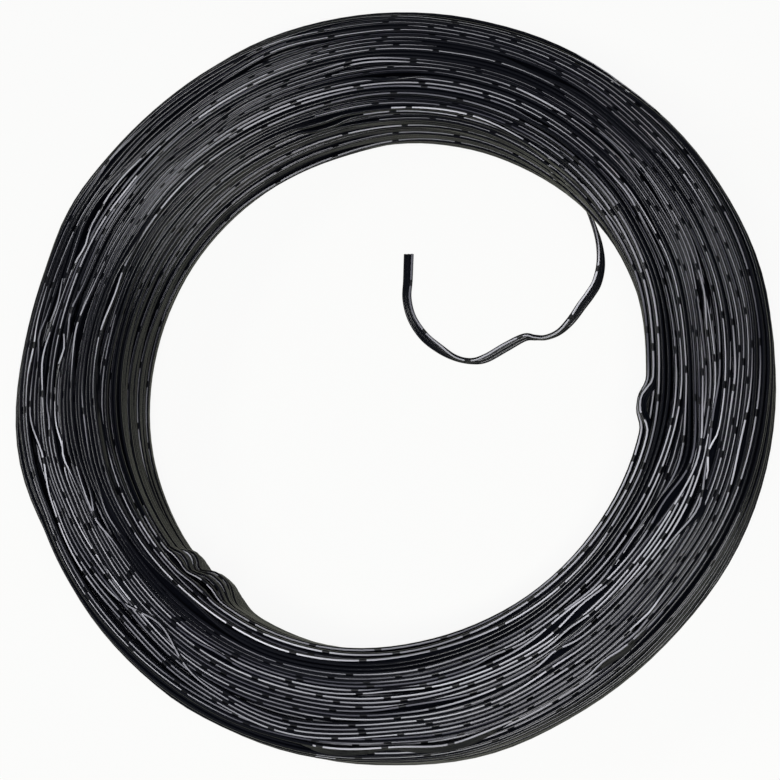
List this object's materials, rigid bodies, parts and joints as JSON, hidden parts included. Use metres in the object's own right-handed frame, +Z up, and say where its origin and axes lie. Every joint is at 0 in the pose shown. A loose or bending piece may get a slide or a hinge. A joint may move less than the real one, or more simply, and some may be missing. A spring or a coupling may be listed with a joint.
{
  "type": "folded parallel wire",
  "caption": "Black flat parallel wire with side-by-side cores and a white dashed tracer, wound in a thick round coil with one free cut end inside the eye.",
  "frame": {"origin": "centre of the coil on the surface it rests on", "axes": "+Z up along the coil's axis; the free end lies in the eye on the +X +Y side, and its cut end points along +Y"},
  "size_m": [0.17, 0.17, 0.0288],
  "materials": {
    "coil_insulation": "satin",
    "free_end_insulation": "satin",
    "conductor": "satin"
  },
  "bodies": {
    "root": {"wire_coil": "coil_insulation", "free_end": "free_end_insulation", "striped_core_conductor": "conductor", "middle_core_conductor": "conductor", "plain_core_conductor": "conductor"}
  },
  "joints": []
}
